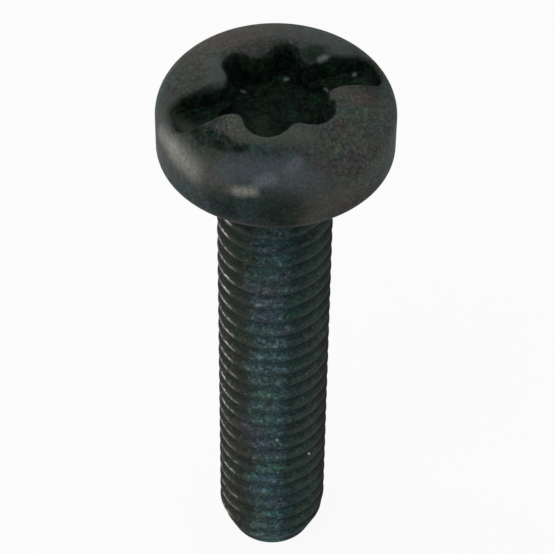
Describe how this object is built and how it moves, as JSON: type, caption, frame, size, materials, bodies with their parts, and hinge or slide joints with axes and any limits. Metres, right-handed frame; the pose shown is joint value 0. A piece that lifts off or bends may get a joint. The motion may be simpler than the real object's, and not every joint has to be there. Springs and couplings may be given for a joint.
{
  "type": "machine screw",
  "caption": "Black pan-head machine screw with a fine metric thread, driven by a six-lobe key or a flat blade.",
  "frame": {"origin": "centre of the flat end of the shank, on which the screw stands", "axes": "+Z along the screw's axis, from the point to the head; +X along the slot in the head"},
  "size_m": [0.008, 0.008, 0.0229],
  "materials": {
    "black_steel": "black oxide, lightly oiled, mottled and worn bright at the edges"
  },
  "bodies": {
    "root": {"screw": "black_steel"}
  },
  "joints": []
}
